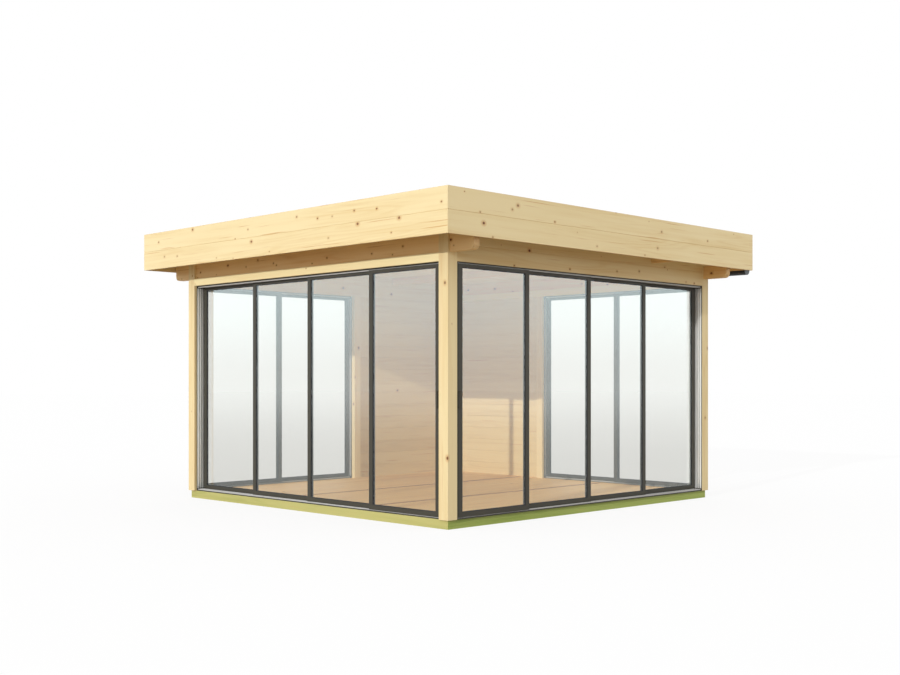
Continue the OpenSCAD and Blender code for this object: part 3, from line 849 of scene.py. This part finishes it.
class CABIN_OT_roof_laps(bpy.types.Operator):
    """Laps between the sheets of roofing"""

    bl_idname = "cabin.roof_laps"
    bl_label = "Roofing laps"

    def execute(self, context):
        sizes = context.scene.cabin_sizes
        low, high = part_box("roof_boards")
        rise, thick = roof_slope()
        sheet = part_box("roofing")[1].y - high.y
        slope = rise / (high.y - low.y)
        step = (high.y - low.y) / (sizes.lap_count + 1)
        size = Vector((high.x - low.x - 2 * sheet, sizes.lap_width, sizes.lap_height))
        first_y = low.y + step
        top = low.z + thick + sheet + (high.y - first_y - sizes.lap_width / 2) * slope
        lap = start_block("roofing_laps", size,
                          ((low.x + high.x) / 2, first_y, top + sizes.lap_height / 2))
        bpy.ops.object.mode_set(mode="EDIT")
        pick(lap, "EDGE", lambda e: along_edge(e, 0) and min(v.co.z for v in e.verts) > 0)
        bpy.ops.mesh.bevel(offset=sizes.lap_height * LAP_BEVEL, segments=2, affect="EDGES")
        pick(lap, "VERT", lambda v: v.co.y < 0)
        bpy.ops.transform.translate(value=(0, 0, sizes.lap_width * slope))
        bpy.ops.object.mode_set(mode="OBJECT")
        repeat(lap, sizes.lap_count, (0, step, -step * slope))
        settle(lap, "root", mineral_felt("lap felt", context.scene.cabin_metal.roofing_tone))
        return {"FINISHED"}


def pane_box(leaf, glass):
    """Lowest and highest corner of the pane in a leaf, also where a node holds several panes."""
    leaf_low, leaf_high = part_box(leaf)
    inside = [v.co for v in NODES[glass].data.vertices
              if all(leaf_low[i] <= v.co[i] <= leaf_high[i] for i in range(3))]
    low = Vector([min(co[i] for co in inside) for i in range(3)])
    high = Vector([max(co[i] for co in inside) for i in range(3)])
    return low, high


class CABIN_OT_glazing_seals(bpy.types.Operator):
    """Rubber seals round both faces of every pane"""

    bl_idname = "cabin.glazing_seals"
    bl_label = "Glazing seals"

    def execute(self, context):
        rubber = moulded("seal rubber", context.scene.cabin_metal.seal_tone, roughness=0.7)
        for leaf, (glass, body) in PANES.items():
            seal = self.seal(context.scene.cabin_sizes, leaf + "_seal", *pane_box(leaf, glass))
            settle(seal, body, rubber)
        return {"FINISHED"}

    def seal(self, sizes, name, low, high):
        """A rubber frame on one face of a pane, mirrored to the other face."""
        span = high - low
        thin = min(range(2), key=lambda axis: span[axis])
        size = span - Vector((2 * sizes.glass_bite,) * 3)
        size[thin] = sizes.seal_depth
        piece = start_block(name, size, (low + high) / 2)
        lift = (span[thin] + sizes.seal_depth) / 2
        bpy.ops.object.mode_set(mode="EDIT")
        pick(piece, "FACE", lambda face: abs(face.normal[thin]) > SIDE_ON)
        bpy.ops.mesh.inset(thickness=sizes.seal_face, depth=0)
        bpy.ops.mesh.bridge_edge_loops()
        inner = size / 2 - Vector((sizes.seal_face / 2,) * 3)
        wide = [axis for axis in range(3) if axis != thin]
        pick(piece, "EDGE", lambda edge: all(
            v.co[thin] > 0 and all(abs(v.co[axis]) < inner[axis] for axis in wide)
            for v in edge.verts))
        bpy.ops.mesh.bevel(offset=sizes.seal_round, segments=3, affect="EDGES")
        bpy.ops.mesh.select_all(action="SELECT")
        step = [0.0, 0.0, 0.0]
        step[thin] = lift
        bpy.ops.transform.translate(value=step)
        bpy.ops.object.mode_set(mode="OBJECT")
        twin = piece.modifiers.new("other face", "MIRROR")
        twin.use_axis = [axis == thin for axis in range(3)]
        bpy.ops.object.modifier_apply(modifier=twin.name)
        bpy.ops.object.mode_set(mode="EDIT")
        bpy.ops.mesh.select_all(action="SELECT")
        bpy.ops.mesh.normals_make_consistent(inside=False)
        bpy.ops.object.mode_set(mode="OBJECT")
        return piece


class CABIN_OT_jamb_brushes(bpy.types.Operator):
    """Strips of dark pile that part the lanes of the door jambs, also standing in as painted shade in
    the lane channels
    """

    bl_idname = "cabin.jamb_brushes"
    bl_label = "Jamb brushes"

    def execute(self, context):
        sizes = context.scene.cabin_sizes
        # The dark pile is brush seal and painted shade in the lane channels
        pile = moulded("brush pile and channel shade", context.scene.cabin_metal.seal_tone, roughness=0.9)
        for side in SIDES:
            brushes = self.brushes(sizes, side)
            settle(brushes, "root", pile)
        return {"FINISHED"}

    def brushes(self, sizes, side):
        """The pile at both ends of one door set: a strip between lanes, in a row and mirrored."""
        low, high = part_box(side + "_door_frame")
        deep = min(range(2), key=lambda axis: high[axis] - low[axis])
        wide = 1 - deep
        leaves = [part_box(name) for name in PANES if name.startswith(side)]
        start = min(box[0][wide] for box in leaves) - sizes.brush_clear
        end = max(box[1][wide] for box in leaves) + sizes.brush_clear
        lanes = round((high[deep] - low[deep]) / sizes.lane_pitch)
        size = Vector((0, 0, leaves[0][1].z - leaves[0][0].z))
        size[deep] = sizes.brush_width
        size[wide] = sizes.brush_depth
        centre = (leaves[0][0] + leaves[0][1]) / 2
        centre[deep] = low[deep] + sizes.lane_pitch
        centre[wide] = start - sizes.brush_depth / 2
        strip = start_block(side + "_jamb_brushes", size, centre)
        bpy.ops.object.mode_set(mode="EDIT")
        pick(strip, "EDGE", lambda e: along_edge(e, 2) and min(v.co[wide] for v in e.verts) > 0)
        bpy.ops.mesh.bevel(offset=sizes.brush_depth / 2, segments=3, affect="EDGES")
        bpy.ops.object.mode_set(mode="OBJECT")
        step = [0.0, 0.0, 0.0]
        step[deep] = sizes.lane_pitch
        repeat(strip, lanes - 1, step)
        bpy.ops.object.mode_set(mode="EDIT")
        bpy.ops.mesh.select_all(action="SELECT")
        bpy.ops.mesh.duplicate()
        bpy.ops.transform.mirror(constraint_axis=[axis == wide for axis in range(3)])
        shift = [0.0, 0.0, 0.0]
        shift[wide] = end - start + sizes.brush_depth
        bpy.ops.transform.translate(value=shift)
        bpy.ops.mesh.select_all(action="SELECT")
        bpy.ops.mesh.normals_make_consistent(inside=False)
        bpy.ops.object.mode_set(mode="OBJECT")
        return strip


class CABIN_OT_stage(bpy.types.Operator):
    """Studio floor, sun, sky and camera"""

    bl_idname = "cabin.stage"
    bl_label = "Studio"

    def execute(self, context):
        stage = context.scene.cabin_stage
        self.floor(stage)
        self.sun(stage)
        self.sky(context.scene, stage)
        self.camera(context.scene, stage)
        context.scene.view_settings.view_transform = "Standard"
        return {"FINISHED"}

    def seen(self, f, *rays):
        """1 where a ray is one of the given kinds."""
        path = f.add("LightPath").outputs
        mask = path[rays[0]]
        for ray in rays[1:]:
            mask = f.sum("MAXIMUM", mask, path[ray])
        return mask

    def floor(self, stage):
        """A pale floor that keeps the shadow and lies in haze far off where the glass mirrors it."""
        bpy.ops.object.select_all(action="DESELECT")
        bpy.ops.mesh.primitive_plane_add(size=stage.floor_size)
        floor = bpy.context.object
        floor.name = "studio_floor"
        material, f = new_finish("studio floor")
        mask = self.seen(f, "Is Camera Ray", "Is Glossy Ray", "Is Transmission Ray")
        place = f.place()
        away = f.add("VectorMath", {0: place, 1: place}, operation="DOT_PRODUCT").outputs["Value"]
        haze = f.sum("DIVIDE", away, f.sum("ADD", away, stage.haze_start ** 2))
        step = stage.haze_strength - stage.floor_shade - stage.floor_mirror
        mirrored = f.sum("ADD", f.sum("MULTIPLY", haze, step), stage.floor_mirror)
        glow = f.sum("MULTIPLY", self.seen(f, "Is Camera Ray", "Is Transmission Ray"), stage.floor_glow)
        glow = f.sum("ADD", glow, f.sum("MULTIPLY", mirrored, self.seen(f, "Is Glossy Ray")))
        tone = f.mix(mask, stage.floor_bounce, (stage.floor_shade,) * 3)
        matt = f.add("BsdfDiffuse", {"Color": tone}).outputs[0]
        white = f.add("Emission", {"Color": (1, 1, 1), "Strength": glow}).outputs[0]
        f.surface(f.add("AddShader", {0: matt, 1: white}).outputs[0])
        floor.data.materials.append(material)

    def sun(self, stage):
        """A low sun that lights the front."""
        bpy.ops.object.light_add(type="SUN")
        sun = bpy.context.object
        sun.name = "sun"
        sun.data.energy = stage.sun_strength
        sun.data.angle = stage.sun_spread
        sun.rotation_euler = (math.pi / 2 - stage.sun_height, 0, stage.sun_turn)

    def sky(self, scene, stage):
        """White where it is seen, even where it lights, and hazy and bright where glass mirrors it."""
        world = bpy.data.worlds.new("studio sky")
        world.use_nodes = True
        scene.world = world
        f = Finish(world.node_tree)
        height = f.parts(f.add("TexCoord").outputs["Generated"])["Z"]
        rise = math.sin(stage.sky_mirror_rise)
        veil = f.fade(height, 0.0, rise, stage.haze_strength, stage.sky_mirror_strength)
        tone = f.mix(f.fade(height, 0.0, rise), (1, 1, 1), stage.sky_tone)
        even = f.add("Background", {"Color": (1, 1, 1), "Strength": stage.sky_strength}).outputs[0]
        mirrored = f.add("Background", {"Color": tone, "Strength": veil}).outputs[0]
        white = f.add("Background", {"Color": (1, 1, 1), "Strength": 1.0}).outputs[0]
        mask = self.seen(f, "Is Camera Ray", "Is Transmission Ray")
        whole = f.layers(even, self.seen(f, "Is Glossy Ray"), mirrored, mask, white)
        f.add("OutputWorld", {"Surface": whole})

    def camera(self, scene, stage):
        """A level camera with a raised film, so that uprights stay upright."""
        bpy.ops.object.camera_add(location=stage.eye_place, rotation=(math.pi / 2, 0, stage.eye_turn))
        eye = bpy.context.object
        eye.name = "eye"
        eye.data.lens = stage.lens
        eye.data.sensor_fit = "HORIZONTAL"
        eye.data.shift_y = stage.rise
        eye.data.clip_end = 2 * stage.floor_size
        scene.camera = eye


OPERATORS = (
    CABIN_OT_timber, CABIN_OT_metal, CABIN_OT_glass, CABIN_OT_roof_finish, CABIN_OT_floor_boards,
    CABIN_OT_floor_trim, CABIN_OT_roof_boards, CABIN_OT_roof_laps, CABIN_OT_glazing_seals,
    CABIN_OT_jamb_brushes, CABIN_OT_stage,
)
GROUPS = {
    "cabin_timber": CabinTimber,
    "cabin_sizes": CabinSizes,
    "cabin_metal": CabinMetal,
    "cabin_stage": CabinStage,
}


class CABIN_PT_panel(bpy.types.Panel):
    """Lists the cabin's settings and the operators that dress it"""

    bl_idname = "CABIN_PT_panel"
    bl_label = "Garden cabin"
    bl_space_type = "VIEW_3D"
    bl_region_type = "UI"
    bl_category = "Cabin"

    def draw(self, context):
        for group in GROUPS:
            settings = getattr(context.scene, group)
            box = self.layout.box()
            for name in settings.__annotations__:
                box.prop(settings, name)
        for operator in OPERATORS:
            self.layout.operator(operator.bl_idname)


def register():
    """Registers the classes and hangs the settings on the scene."""
    for kind in (*GROUPS.values(), *OPERATORS, CABIN_PT_panel):
        bpy.utils.register_class(kind)
    for name, kind in GROUPS.items():
        setattr(bpy.types.Scene, name, PointerProperty(type=kind))


def unregister():
    """Takes the settings and classes away again."""
    for name in GROUPS:
        delattr(bpy.types.Scene, name)
    for kind in (CABIN_PT_panel, *reversed(OPERATORS), *GROUPS.values()):
        bpy.utils.unregister_class(kind)


def main():
    """Dresses the part."""
    register()
    for operator in OPERATORS:
        family, name = operator.bl_idname.split(".")
        getattr(getattr(bpy.ops, family), name)()


if __name__ == "__main__":
    main()
